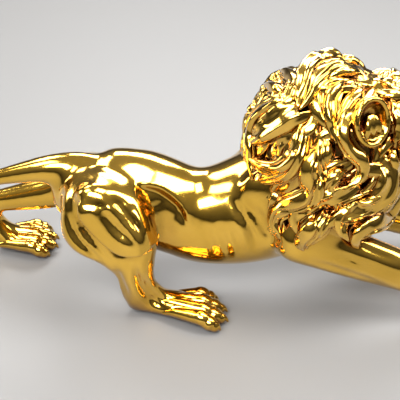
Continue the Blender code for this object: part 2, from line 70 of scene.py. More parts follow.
MANE_CENTRE = np.array((119.0, 0.0, 162.0))
MANE_CORE = np.array((67.0, 63.0, 75.0))
MANE_REACH_AHEAD = 82.0  # the core reaches further ahead than back
MANE_DEPTH_BELOW = 88.0  # and further down than up
APRON_CENTRE = np.array((120.0, -38.0, 112.0))  # where the mane hangs over a shoulder
APRON_CORE = np.array((46.0, 31.0, 35.0))
CROWN_CENTRE = np.array((170.0, 0.0, 192.0))  # hair over the skull
CROWN_CORE = np.array((40.0, 44.0, 36.0))
LOCK_LEAN = 9.0  # how much a lock leans out on the outside of a bend
MOST_LEAN = 0.6  # radians
LOCK_WAVE = 0.6  # how far a lock rises and sinks along its run
FAR_LIFT = 6.0  # the most that a lock of the far side stands out
STRAND = 3.0  # half width of the thin strands beside the locks
UNDER_LOCKS = 130
UNDER_RUN = 62.0  # how far a lock of the under layer reaches at least
UNDER_WIDTH = 8.5  # its least half width
UNDER_SWAY = 0.8  # radians to either side
RUFF_LOCKS = 17
RUFF_RUN = 58.0
RUFF_WIDTH = 9.5
RUFF_SWAY = 0.6
RUFF_LIFT = 4.0

TOE_RADIUS = 8.2
TOE_FAN = 7.0  # degrees from the middle of the paw to the line of a toe one spread beside it
TOE_BACK = 6.0  # how far behind the ball of the paw the toes start
TOE_DROPS = (0.5, 4.5)  # how fast the middle and the outer toes sink towards the wrist
TOE_LEVEL = 0.4  # the share of a toe's length from which it is level
CLAW_RADIUS = 3.0
EYE_RADIUS = 5.6
TUFT_RADIUS = 11.0

HEAD_CENTRE = (176.0, 0.0, 188.0)
HEAD_PITCH = math.radians(8)


def curve_through(rows, steps):
    """Catmull-Rom curve through the rows, steps samples to a span, all columns alike."""
    rows = np.array(rows, float)
    padded = np.vstack((2 * rows[0] - rows[1], rows, 2 * rows[-1] - rows[-2]))
    out = []
    for i in range(len(rows) - 1):
        a, b, c, d = padded[i : i + 4]
        square = 2 * a - 5 * b + 4 * c - d
        cube = 3 * b - a - 3 * c + d
        for t in np.linspace(0, 1, steps, endpoint=False):
            out.append(0.5 * (2 * b + (c - a) * t + square * t**2 + cube * t**3))
    out.append(rows[-1])
    return np.array(out)


def unit_rows(vectors):
    """The vectors at a length of one."""
    return vectors / np.maximum(np.linalg.norm(vectors, axis=-1, keepdims=True), 1e-9)


def even_steps(path, number):
    """The path with its points spaced evenly."""
    lengths = np.linalg.norm(np.diff(path, axis=0), axis=1)
    at = np.concatenate(((0,), np.cumsum(lengths)))
    wanted = np.linspace(0, at[-1], number)
    return np.column_stack([np.interp(wanted, at, column) for column in path.T])


class Shell:
    """Gathers closed shells."""

    def __init__(self):
        self.points = []
        self.faces = []
        self.count = 0

    def add(self, points, faces):
        self.points.append(np.asarray(points, float))
        self.faces.extend([tuple(i + self.count for i in face) for face in faces])
        self.count += len(points)

    def tube(self, rings, first_pole, last_pole):
        """Closed tube through rings of points, each an array of as many rows."""
        sides = len(rings[0])
        points = np.vstack([[first_pole], *rings, [last_pole]])
        faces = [(0, 1 + (k + 1) % sides, 1 + k) for k in range(sides)]
        for ring in range(len(rings) - 1):
            a = 1 + ring * sides
            for k in range(sides):
                n = (k + 1) % sides
                faces.append((a + k, a + n, a + sides + n, a + sides + k))
        a = 1 + (len(rings) - 1) * sides
        tip = len(points) - 1
        faces.extend([(a + k, a + (k + 1) % sides, tip) for k in range(sides)])
        self.add(points, faces)

    def limb(self, stations, steps=8, sides=24):
        """Loft through stations (x, y, z, half width along Y, half height in the XZ plane)."""
        rows = curve_through(stations, steps)
        centres = rows[:, :3]
        along = unit_rows(np.gradient(centres, axis=0))
        side = np.tile((0.0, 1.0, 0.0), (len(rows), 1))
        across = unit_rows(side - along * np.sum(side * along, axis=1, keepdims=True))
        over = np.cross(along, across)
        turn = np.linspace(0, 2 * math.pi, sides, endpoint=False)
        rings = []

        def ring(i, ahead, scale):
            middle = centres[i] + ahead
            flat = across[i] * (rows[i, 3] * scale) * np.cos(turn)[:, None]
            tall = over[i] * (rows[i, 4] * scale) * np.sin(turn)[:, None]
            return middle + flat + tall

        poles = []
        for i, beyond in ((0, 1), (-1, -2)):
            outward = unit_rows(centres[i] - centres[beyond])
            reach = min(rows[i, 3:])
            angles = np.radians((20, 40, 60, 75))
            cap = [ring(i, outward * reach * math.sin(a), math.cos(a)) for a in angles]
            poles.append(centres[i] + outward * reach)
            rings.append(cap)
        body = [ring(i, 0, 1) for i in range(len(rows))]
        self.tube(rings[0][::-1] + body + rings[1], *poles)

    def mass(self, centre, radii, pitch=0, yaw=0, roll=0, detail=4):
        """Ellipsoid. Pitch tips its front down, in degrees."""
        mesh = bmesh.new()
        turn = (
            Matrix.Rotation(math.radians(yaw), 4, "Z")
            @ Matrix.Rotation(math.radians(pitch), 4, "Y")
            @ Matrix.Rotation(math.radians(roll), 4, "X")
        )
        place = Matrix.Translation(centre) @ turn @ Matrix.Diagonal((*radii, 1))
        bmesh.ops.create_icosphere(mesh, subdivisions=detail, radius=1, matrix=place)
        mesh.verts.index_update()
        self.add([v.co[:] for v in mesh.verts], [tuple(v.index for v in f.verts) for f in mesh.faces])
        mesh.free()


def torso(shell):
    """From the rump to the chest, and the neck."""
    shell.limb(
        [
            (-118, 0, 113, 30, 34),
            (-100, 0, 108, 41, 49),
            (-80, 0, 106, 43, 52),
            (-60, 0, 103.5, 43, 52),
            (-40, 0, 98, 42, 49.5),
            (-20, 0, 90, 41, 48),
            (0, 0, 84, 43, 51),
            (20, 0, 84.5, 47, 53),
            (40, 0, 89, 50, 56),
            (60, 0, 96, 51, 58),
            (85, 0, 107, 50, 58),
            (112, 0, 118, 46, 54),
            (138, 0, 128, 36, 46),
        ],
        sides=48,
    )
    shell.limb([(92, 0, 140, 44, 44), (112, 0, 155, 40, 40)], sides=32)


def tail(shell):
    """Held out behind, with a small raised tuft at its end."""
    shell.limb(
        [
            (-92, 0, 130, 19, 19),
            (-117, 0, 141, 16.5, 16),
            (-147, 0, 139, 15, 15),
            (-172, 2, 133.5, 12.5, 12.5),
            (-197, 4, 127, 10, 10),
            (-225, 8, 117, 8.8, 8.8),
            (-252, 11, 104, 8, 8),
            (-276, 11, 93, 7.6, 7.6),
            (-298, 8, 90, 8, 8),
        ]
    )
    shell.limb(
        [
            (-290, 9, 90.5, 8, 8),
            (-303, 7, 92, TUFT_RADIUS, TUFT_RADIUS),
            (-315, 5, 98, 0.8 * TUFT_RADIUS, 0.8 * TUFT_RADIUS),
            (-322, 4, 107, 3.5, 3.5),
        ]
    )


def near_thigh(shell):
    """Right thigh with its muscles, down to the knee."""
    shell.limb(
        [
            (-106, -24, 115, 27, 36),
            (-92, -34, 115, 27, 39),
            (-76, -46, 110, 26, 35),
            (-62, -56, 103, 21, 25),
            (-54, -58, 94, 17, 17),
        ],
        sides=32,
    )
    shell.mass((-83, -52, 119), (43, 18, 26), pitch=46)
    shell.limb(
        [
            (-117, -32, 124, 18, 16),
            (-119, -40, 111, 19, 16),
            (-118, -46, 97, 18, 16),
            (-111, -50, 88, 17, 15),
            (-97, -52, 81, 16, 15),
            (-82, -53, 70, 15, 15),
            (-69, -53, 54, 14, 15),
        ]
    )
    shell.mass((-92, -44, 96), (26, 20, 24), pitch=30)
    shell.mass((-82, -54, 76), (16, 15, 16))


def near_shank(shell):
    """Right hind leg from the knee to the paw."""
    shell.limb(
        [
            (-55, -58, 94, 16, 16),
            (-60, -57, 67, 15, 18),
            (-63, -54, 44, 14, 20),
            (-62, -50, 24, 13, 18),
            (-61, -47, 11, 11, 13),
        ]
    )
    shell.mass((-47, -52, 27), (13, 11, 13))
    shell.limb(
        [
            (-66, -46, 9, 10, 9),
            (-46, -48, 12, 14, 13),
            (-30, -51, 12, 17, 13),
            (-13, -55, 9.5, 20, 13),
            (-1, -57, 8, 20, 11),
        ]
    )


def far_hind_leg(shell):
    """Left hind leg, stretched backward."""
    shell.limb(
        [
            (-100, 24, 110, 27, 32),
            (-112, 38, 103, 27, 31),
            (-126, 48, 95, 23, 27),
            (-138, 53, 86, 18, 22),
        ],
        sides=32,
    )
    shell.limb(
        [
            (-130, 51, 92, 18, 20),
            (-148, 55, 80, 18, 20),
            (-168, 57, 74, 17, 19),
            (-198, 60, 66, 14, 16),
            (-222, 62, 61, 11, 13.5),
            (-234, 62, 58, 10, 12),
        ]
    )
    shell.limb(
        [
            (-232, 62, 58, 10, 12),
            (-229, 62, 40, 12, 14),
            (-218, 62, 21, 15, 14),
            (-202, 63, 11, 20, 12),
            (-186, 63, 9, 22, 12),
        ]
    )


def foreleg(shell, side, reach):
    """Elbow tucked under the mane, forearm stretched forward and down. reach moves the paw along X."""
    y = 51 * side
    shell.mass((72, 32 * side, 112), (34, 17, 50), pitch=-24)
    shell.mass((116, 1.16 * y, 88), (36, 14, 20), pitch=18)
    shell.limb([(128, 38 * side, 136, 22, 28), (118, 46 * side, 112, 23, 30), (98, 0.98 * y, 91, 22, 26)])
    shell.limb(
        [
            (92, y, 91, 22, 25),
            (116, y, 85.5, 23, 27),
            (154, y, 69.5, 21, 25),
            (197 + 0.4 * reach, y, 52, 18, 22),
            (226 + 0.8 * reach, y, 36, 16.5, 17),
            (243 + reach, y, 22, 17, 16),
            (256 + reach, y, 12, 20, 13),
            (264 + reach, y, 9, 22, 12),
        ]
    )


TOES = (
    # place across the paw, in spreads, and length
    (-1.5, 24),
    (-0.5, 30),
    (0.5, 29),
    (1.5, 22),
)
TOE = (
    (-1.3, 17, 0.3),
    (-0.8, 18.5, 0.62),
    (-0.35, 17, 0.78),
    (0.1, 15, 0.9),
    (0.38, 14, 1.0),
    (0.58, 11, 0.92),
    (0.76, 9, 0.96),
    (0.92, 7, 0.74),
)
CLAW = ((0.82, 10, 1.1), (0.98, 9.5, 1.05), (1.1, 7, 0.8), (1.18, 4, 0.35))


def toes(shell, ball, spread, lean):
    """Four toes and their claws on a paw whose ball is at (x, y). lean turns the paw outward, in degrees.

    Each row of a toe or a claw is a share of the toe's length, a height and a share of its radius.
    """
    for place, length in TOES:
        turn = math.radians(lean + TOE_FAN * place)
        direction = np.array((math.cos(turn), math.sin(turn)))
        start = np.array(ball) + np.array((-TOE_BACK, place * spread))
        drop = TOE_DROPS[1 if abs(place) > 1 else 0]
        for rows, radius, sides in ((TOE, TOE_RADIUS, 24), (CLAW, CLAW_RADIUS, 16)):
            stations = []
            for share, height, size in rows:
                x, y = start + direction * length * share
                z = height - max(0.0, TOE_LEVEL - share) * drop
                stations.append((x, y, z, radius * size, radius * size))
            shell.limb(stations, steps=5, sides=sides)


def paws(shell):
    toes(shell, (-1, -57), 11.0, -9)
    toes(shell, (-187, 63), 12.0, 0)
    toes(shell, (262, -51), 11.5, -3)
    toes(shell, (280, 51), 11.5, 3)


def head_point(forward, side, up):
    """World place of a point of the head, given forward of, beside and above the middle of the skull."""
    x = forward * math.cos(HEAD_PITCH) + up * math.sin(HEAD_PITCH)
    z = up * math.cos(HEAD_PITCH) - forward * math.sin(HEAD_PITCH)
    return (HEAD_CENTRE[0] + x, HEAD_CENTRE[1] + side, HEAD_CENTRE[2] + z)


def head(shell):
    """Skull, muzzle, chin, cheeks, brows, eyes and nose."""
    pitch = math.degrees(HEAD_PITCH)

    def loft(rows, sides=32):
        shell.limb([(*head_point(*row[:3]), *row[3:]) for row in rows], sides=sides)

    def lump(place, radii, tip=0, yaw=0):
        shell.mass(head_point(*place), radii, pitch + tip, yaw=yaw)

    loft([(-20, 0, 6, 42, 40), (5, 0, 8, 43, 37), (24, 0, 6, 38, 31)])
    loft([(8, 0, 25, 26, 15), (30, 0, 21, 18, 13), (50, 0, 14.5, 14, 12), (70, 0, 8.5, 13.5, 11)])
    loft([(20, 0, -8, 34, 27), (44, 0, -6, 30, 22), (60, 0, -6, 27, 19)])
    loft([(0, 0, -27, 34, 18), (32, 0, -31, 27, 15), (54, 0, -32, 19, 12)])
    for side in (-1, 1):
        lump((66, 12 * side, -6), (16, 14, 16))
        lump((18, 31 * side, -2), (25, 14, 20), yaw=-16 * side)
        lump((33, 15 * side, 27.5), (15, 10, 6.5), 16, -24 * side)
        lump((30, 25 * side, 9), (13, 8, 7), 10, -30 * side)
        lump((40, 18.5 * side, 17), (EYE_RADIUS,) * 3)
    lump((78, 0, 8), (7.5, 12.5, 8))
    lump((64, 0, -31), (14, 15, 12))
    lump((30, 0, 33), (22, 7, 6), 14)


EAR_PLACES = {-1: (149.0, -53.0, 219.0), 1: (144.0, 47.0, 215.0)}
EAR_FACING = (0.50, 0.82, 0.26)  # forward, out and up
EAR_WIDTH = 0.92  # of a round ear's
EAR_HEIGHT = 1.08
EAR_HAIR = 4.5  # half width of a lock in an ear
EAR_RINGS = ((8, -14), (15, -10), (20, -3), (22, 4), (21, 7), (18, 7.5), (15.5, 3), (11, -1), (6, -2.5))


def ears(shell):
    """Round cups that face forward and out. Each ring is a radius and how far it lies ahead."""
    turn = np.linspace(0, 2 * math.pi, 48, endpoint=False)
    for side in (-1, 1):
        base = np.array(EAR_PLACES[side])
        facing = unit_rows(np.array(EAR_FACING) * (1, side, 1))
        sideways = unit_rows(np.cross((0.0, 0.0, 1.0), facing))
        upright = np.cross(facing, sideways)
        circle = np.cos(turn)[:, None] * sideways * EAR_WIDTH + np.sin(turn)[:, None] * upright * EAR_HEIGHT
        rings = [base + facing * ahead + circle * radius for radius, ahead in EAR_RINGS]
        shell.tube(rings, base + facing * (EAR_RINGS[0][1] - 1), base + facing * (EAR_RINGS[-1][1] - 0.5))
        for place in (-1, 0, 1):
            path = curve_through(((8 * place, -15, 1), (6 * place, -4, 5), (2 * place - 1, 8, 3)), 5)
            hair = [base + sideways * x + upright * y + facing * z for x, y, z in path]
            lock(shell, hair, [facing] * len(hair), EAR_HAIR, SMOOTH, upper=11)


def core_radii(offset):
    """The core's radii on the side of its middle where each offset points."""
    radii = np.tile(MANE_CORE, (len(offset), 1))
    radii[offset[:, 0] > 0, 0] = MANE_REACH_AHEAD
    radii[offset[:, 2] < 0, 2] = MANE_DEPTH_BELOW
    return radii


def on_core(ball, lift):
    """Place above the mane's core and its outward direction there, for a point of the unit ball."""
    radii = core_radii(ball[None])[0]
    normal = unit_rows(ball / radii)
    return MANE_CENTRE + ball * radii + normal * lift, normal


def on_mane(picture_x, picture_y, side, lift):
    """Where the camera's ray through a picture place meets the mane's cores, raised by lift.

    It gives that place and the outward direction there. A ray that misses takes the nearest outline.
    """
    sideways = np.array((picture_x - HALF_PICTURE, 0.0, 0.0))
    ray = sideways + EYE_UP * (HALF_PICTURE - picture_y) - EYE_BACK * PICTURE_SCALE
    track = EYE_TARGET + EYE_BACK * EYE_DISTANCE + ray * RAY_REACHES * EYE_DISTANCE / PICTURE_SCALE
    best = None
    for middle, core in ((MANE_CENTRE, None), (APRON_CENTRE, APRON_CORE), (CROWN_CENTRE, CROWN_CORE)):
        offset = track - middle
        radii = core_radii(offset) if core is None else np.tile(core, (len(offset), 1))
        ball = offset / (radii + lift)
        height = np.linalg.norm(ball, axis=1)
        i = int(np.argmin(height))
        share = 0.0
        missed = height[i]
        if missed < 1:
            i = int(np.argmax(height < 1))
            share = (height[i - 1] - 1) / (height[i - 1] - height[i])
            missed = 1.0
        j = max(i - 1, 0)
        met = unit_rows(ball[j] + (ball[i] - ball[j]) * share if missed == 1.0 else ball[i])
        rank = (missed, j + share)
        if best is None or rank < best[0]:
            wide = radii[i] + lift
            best = (rank, middle + met * wide, unit_rows(met / wide))
    _, place, normal = best
    return place * (1, -side, 1), normal * (1, -side, 1)


SMOOTH, CHANNEL, PAIR, THREE = 0, 1, 2, 3
CUTS = (
    # the grooves of each cut: place across the lock, half width and depth, as shares of the lock's
    (),
    ((0.0, 0.48, 0.42), (-0.74, 0.13, -0.24), (0.74, 0.13, -0.24)),
    ((0.10, 0.13, 0.34), (0.60, 0.11, 0.2)),
    ((-0.40, 0.13, 0.34), (0.36, 0.13, 0.34)),
)

LOCKS = (
    # half width, lift, cut, then the picture places that the lock runs through, from root to tip
    (10.0, 13, CHANNEL, (358, 68), (346, 60), (330, 57), (314, 62), (305, 75), (302, 90), (298, 106)),
    (9.5, 13, PAIR, (370, 78), (352, 72), (332, 71), (318, 79), (311, 94), (301, 108)),
    (5.5, 12, SMOOTH, (297, 74), (294, 92), (276, 103), (257, 115), (250, 132), (250, 156), (252, 180)),
    (12.0, 5, PAIR, (300, 88), (290, 76), (276, 77), (264, 86), (253, 95)),
    (9.0, 2, PAIR, (284, 86), (270, 98), (260, 108), (252, 118)),
    (7.0, 9, SMOOTH, (306, 96), (297, 82), (287, 74), (277, 71), (268, 78)),
    (7.0, 9, SMOOTH, (290, 98), (276, 88), (263, 87), (254, 93), (252, 104)),
    (6.5, 9, SMOOTH, (268, 104), (254, 108), (245, 117), (240, 130), (239, 146)),
    (9.0, 4, PAIR, (262, 112), (247, 120), (242, 135), (240, 150)),
    (9.5, 4, CHANNEL, (260, 136), (247, 148), (240, 162), (238, 178)),
    (7.5, 9, SMOOTH, (353, 77), (338, 86), (330, 101), (331, 120), (336, 141)),
    (7.5, 10, SMOOTH, (361, 79), (357, 97), (348, 113), (340, 126), (336, 142)),
    (10.0, 5, PAIR, (350, 76), (328, 82), (316, 96), (319, 112), (331, 130)),
    (7.0, 12, SMOOTH, (366, 76), (371, 92), (360, 109), (347, 120),
     (344, 136), (352, 151), (364, 163), (361, 178), (344, 190)),
    (12.5, 8, CHANNEL, (376, 150), (386, 171), (382, 192), (364, 206), (340, 216), (324, 228)),
    (11.0, 8, PAIR, (331, 138), (315, 158), (309, 176), (317, 190),
     (304, 201), (284, 207), (273, 220), (282, 240)),
    (15.0, 6, CHANNEL, (316, 108), (287, 118), (264, 133), (246, 144)),
    (10.5, 5, PAIR, (314, 114), (301, 136), (297, 157), (286, 172), (262, 179), (251, 192)),
    (6.0, 11, SMOOTH, (294, 136), (294, 155), (280, 168), (262, 167), (248, 158)),
    (10.5, 6, CHANNEL, (364, 176), (344, 192), (320, 196), (304, 206), (294, 218), (298, 234)),
    (11.0, 7, PAIR, (396, 188), (399, 207), (381, 220), (361, 228), (354, 239), (364, 250)),
    (9.5, 9, CHANNEL, (384, 178), (378, 195), (360, 206), (343, 213), (339, 226), (348, 240)),
    (10.5, 6, PAIR, (328, 204), (322, 222), (307, 234), (302, 246), (312, 254)),
    (11.0, 5, PAIR, (280, 186), (271, 205), (273, 224), (287, 242)),
    (10.0, 5, CHANNEL, (388, 146), (397, 168), (407, 186)),
    (10.0, 3, PAIR, (322, 128), (325, 148), (317, 168), (327, 182), (338, 200)),
    (9.5, 3, PAIR, (266, 176), (254, 190), (258, 206), (268, 216)),
    (10.0, 4, THREE, (350, 164), (334, 176), (327, 192), (338, 208), (331, 226)),
    (9.0, 3, PAIR, (290, 94), (270, 106), (262, 120), (270, 132)),
    (5.5, 12, SMOOTH, (360, 68), (352, 57), (341, 46)),
    (8.5, 5, PAIR, (368, 74), (380, 71), (393, 77), (408, 90)),
    (9.0, 5, PAIR, (374, 84), (390, 86), (404, 98), (412, 116)),
    (9.0, 6, CHANNEL, (388, 96), (398, 108), (401, 126), (395, 142)),
    (9.0, 5, PAIR, (408, 110), (409, 132), (402, 152), (410, 172), (404, 192)),
    (9.0, 4, PAIR, (420, 130), (422, 156), (414, 178), (420, 200)),
)


def evened(rows, rounds):
    """The rows, each drawn towards its neighbours, with the two ends kept."""
    rows = rows.copy()
    for _ in range(rounds):
        rows[1:-1] = (rows[:-2] + 2 * rows[1:-1] + rows[2:]) / 4
    return rows


LOCK_SHARES = (0, 0.12, 0.4, 0.75, 0.92, 1)  # of a lock's run
LOCK_WIDTHS = (0.3, 0.7, 1.0, 0.8, 0.42, 0.14)  # there, as shares of its half width
GROOVE_SHARES = (0, 0.15, 0.8, 1)  # of a lock's run
GROOVE_DEPTHS = (0.3, 1, 1, 0.2)  # there, as shares of the cut's depth
CREST_SWING = 0.5  # how far the crest wanders, as a share of the half width
CREST_HEIGHT = 1.12
CREST_SLOPE = 0.5
GROOVE_SWING = 0.18


def lock(shell, places, normals, half_width, cut, upper=27, lower=3, height=0.95):
    """One lock, a swept band with a crest that wanders across it, and grooves and rims along its top.

    It leans out on the outside of each bend. Its section has upper points above and lower points below.
    """
    places, normals = evened(np.array(places), 6), unit_rows(evened(np.array(normals), 12))
    along = unit_rows(np.gradient(places, axis=0))
    across = unit_rows(np.cross(normals, along))
    over = np.cross(along, across)
    step = np.linalg.norm(np.gradient(places, axis=0), axis=1)
    bend = evened(np.sum(np.gradient(along, axis=0) * across, axis=1) / step, 6)
    tilt = np.clip(LOCK_LEAN * bend, -MOST_LEAN, MOST_LEAN)[:, None]
    leaning = across * np.cos(tilt) - over * np.sin(tilt)
    over = over * np.cos(tilt) + across * np.sin(tilt)
    across = leaning
    t = np.linspace(0, 1, len(places))
    wide = half_width * np.interp(t, LOCK_SHARES, LOCK_WIDTHS)
    top = np.linspace(0, math.pi, upper)
    under = np.linspace(math.pi, 2 * math.pi, lower + 2)[1:-1]
    u = np.cos(np.concatenate((top, under)))
    bulk = np.concatenate((np.sin(top) ** 0.75, 0.7 * np.sin(under)))
    swing = np.sin(2 * math.pi * t + half_width)[:, None]
    crest = CREST_SWING * swing
    top_form = CREST_HEIGHT - CREST_SLOPE * np.abs(u - crest) / (1 + np.abs(crest))
    fade = np.interp(t, GROOVE_SHARES, GROOVE_DEPTHS)[:, None]
    grooves = np.ones((len(t), len(u)))
    for middle, width, depth in CUTS[cut]:
        grooves -= depth * fade * np.exp(-(((u - middle - GROOVE_SWING * swing) / width) ** 2))
    top_form *= grooves
    top_form[:, upper:] = 1
    rings = []
    for i in range(len(t)):
        flat = across[i] * (wide[i] * u)[:, None]
        tall = over[i] * (wide[i] * height * bulk * top_form[i])[:, None]
        rings.append(places[i] + flat + tall)
    shell.tube(rings, places[0] - along[0] * wide[0] * 0.6, places[-1] + along[-1] * wide[-1] * 2)


def placed_lock(shell, rows, rises, side, half_width, cut, **section):
    """A lock along picture places, each at its own rise above the mane's cores."""
    placed = [on_mane(*row, side, rise) for row, rise in zip(rows, rises)]
    lock(shell, [place for place, _ in placed], [normal for _, normal in placed], half_width, cut, **section)


def drawn_locks(shell, strands):
    """The locks seen by the camera and their mirror images, each with a thin strand along both edges."""
    for half_width, lift, cut, *run in LOCKS:
        rows = even_steps(curve_through(run, 8), 10 + 7 * len(run))
        t = np.linspace(0, 1, len(rows))
        ahead = unit_rows(np.gradient(rows, axis=0))
        beside = np.stack((-ahead[:, 1], ahead[:, 0]), axis=1)
        away = half_width * np.interp(t, (0, 0.4, 0.8, 1), (0.6, 1.1, 0.8, 0.2))[:, None]
        inner = np.arange(len(rows))[::2][2:-2]  # every second row, without the ends
        for side in (-1, 1):
            rises = np.interp(t, (0, 0.25, 0.8, 1), (-5, lift, 0.9 * lift, 1.2 * lift))
            rises += LOCK_WAVE * np.sin(t * 1.1 * len(rows) / half_width**0.5 + lift)
            if side == 1:
                rises = np.minimum(rises, FAR_LIFT)
            placed_lock(shell, rows, rises, side, half_width, cut)
            for edge in (-1, 1):
                shifted = rows + beside * edge * away
                placed_lock(strands, shifted[inner], rises[inner] - 1, side, STRAND, SMOOTH, upper=7, lower=1)


def flowing_lock(shell, root, pull, run, sway, half_width, lift, cut):
    """A lock that starts on the core at the direction root, drawn along by pull, and sways as it goes."""
    steps = 24
    ball = unit_rows(np.array(root, float))
    places, normals = [], []
    for i in range(steps + 1):
        t = i / steps
        place, normal = on_core(ball, lift * (0.3 + 0.8 * t))
        places.append(place)
        normals.append(normal)
        flow = unit_rows(np.array(pull) - normal * np.dot(pull, normal))
        angle = sway * math.sin(2 * math.pi * t + 0.6)
        heading = flow * math.cos(angle) + np.cross(normal, flow) * math.sin(angle)
        ball = unit_rows(ball + heading * run / steps / MANE_CORE)
    lock(shell, places, normals, half_width, cut, upper=11, height=0.85)


def under_locks(shell):
    """A layer all over the core. It shows between the drawn locks and is the mane's back and chest."""
    golden = math.pi * (3 - math.sqrt(5))
    for i in range(UNDER_LOCKS):
        rise = 1 - (i + 0.5) * 2 / UNDER_LOCKS
        ring = math.sqrt(1 - rise * rise)
        root = np.array((ring * math.cos(golden * i), ring * math.sin(golden * i), rise))
        in_the_face = root[0] > 0.62 and rise > -0.45
        if in_the_face:
            continue
        way = 1 if i % 2 else -1
        between_the_drawn_sides = abs(root[1]) < 0.42 or rise < -0.6
        lift = 3 if between_the_drawn_sides else -2
        pull = (-0.6, 0.35 * root[1], -0.9)
        run = UNDER_RUN + 9 * (i % 3)
        flowing_lock(shell, root, pull, run, UNDER_SWAY * way, UNDER_WIDTH + i % 2, lift, PAIR)


def ruff(shell):
    """The locks that frame the face."""
    for i in range(RUFF_LOCKS):
        turn = 2 * math.pi * (i + 0.5) / RUFF_LOCKS
        way = 1 if i % 2 else -1
        outward = (math.sin(turn), math.cos(turn))
        root = (0.8, 0.52 * outward[0], 0.52 * outward[1] + 0.1)
        pull = (-0.6, outward[0], outward[1] - 0.35)
        flowing_lock(shell, root, pull, RUFF_RUN, RUFF_SWAY * way, RUFF_WIDTH, RUFF_LIFT, THREE)


def mane_core(shell):
    """What shows in the gaps between the locks."""
    ball = bmesh.new()
    bmesh.ops.create_icosphere(ball, subdivisions=4, radius=1)
    ball.verts.index_update()
    places = [on_core(np.array(v.co), 0)[0] for v in ball.verts]
    shell.add(places, [tuple(v.index for v in f.verts) for f in ball.faces])
    ball.free()
    for side in (-1, 1):
        shell.mass(APRON_CENTRE * (1, -side, 1), APRON_CORE, detail=3)
    shell.mass(CROWN_CENTRE, CROWN_CORE, detail=3)


def object_from(name, shell):
    """A mesh object of the gathered shells."""
    mesh = bpy.data.meshes.new(name)
    mesh.from_pydata(np.vstack(shell.points).tolist(), [], shell.faces)
    body = bpy.data.objects.new(name, mesh)
    bpy.context.scene.collection.objects.link(body)
    return body


def baked(body):
    """The object with its modifiers worked into its mesh."""
    bpy.context.view_layer.update()
    graph = bpy.context.evaluated_depsgraph_get()
    mesh = bpy.data.meshes.new_from_object(body.evaluated_get(graph))
    old = body.data
    body.modifiers.clear()
    body.data = mesh
    bpy.data.meshes.remove(old)
    return body


def fused(name, shell, voxel):
    """One closed mesh from the overlapping shells."""
    body = object_from(name, shell)
    remesh = body.modifiers.new("Fuse", "REMESH")
    remesh.mode = "VOXEL"
    remesh.voxel_size = voxel
    return baked(body)


def points_of(mesh):
    flat = np.empty(len(mesh.vertices) * 3, np.float32)
    mesh.vertices.foreach_get("co", flat)
    return flat.reshape(-1, 3).astype(float)


def normals_of(mesh):
    flat = np.empty(len(mesh.vertices) * 3, np.float32)
    mesh.vertices.foreach_get("normal", flat)
    return flat.reshape(-1, 3).astype(float)


def put_points(mesh, points):
    mesh.vertices.foreach_set("co", points.astype(np.float32).ravel())
    mesh.update()


def softened(mesh, rounds, strength):
    """Laplacian smoothing. strength is one value for each point, from 0 to 1."""
    edges = np.empty(len(mesh.edges) * 2, np.int32)
    mesh.edges.foreach_get("vertices", edges)
    a, b = edges.reshape(-1, 2).T
    points = points_of(mesh)
    number = len(points)
    degree = np.bincount(a, minlength=number) + np.bincount(b, minlength=number)
    for _ in range(rounds):
        mean = np.empty_like(points)
        for axis in range(3):
            total = np.bincount(a, points[b, axis], number) + np.bincount(b, points[a, axis], number)
            mean[:, axis] = total / degree
        points += (mean - points) * strength[:, None]
    put_points(mesh, points)


def body_strength(points):
    """Full smoothing on the body, little on the toes."""
    return 0.25 + 0.4 * np.clip((points[:, 2] - 16) / 12, 0, 1)


def picture_places(points):
    """Where the camera sees each point."""
    offset = points - EYE_TARGET
    scale = PICTURE_SCALE / (EYE_DISTANCE - offset @ EYE_BACK)
    return np.column_stack((HALF_PICTURE + scale * offset[:, 0], HALF_PICTURE - scale * (offset @ EYE_UP)))


def along_path(points, path):
    """Each point's distance from the path, the share of the path at its foot, and its signed side."""
    best = np.full(len(points), 1e9)
    share = np.zeros(len(points))
    side = np.ones(len(points))
    lengths = np.linalg.norm(np.diff(path, axis=0), axis=1)
    start = 0.0
    for a, b, long in zip(path[:-1], path[1:], lengths):
        way = (b - a) / long
        along = np.clip((points - a) @ way, 0, long)
        offset = points - a - along[:, None] * way
        distance = np.linalg.norm(offset, axis=1)
        closer = distance < best
        best[closer] = distance[closer]
        share[closer] = (start + along[closer]) / lengths.sum()
        side[closer] = np.sign(way[0] * offset[closer, 1] - way[1] * offset[closer, 0])
        start += long
    return best, share, side


NEAR, BOTH = -1, 0

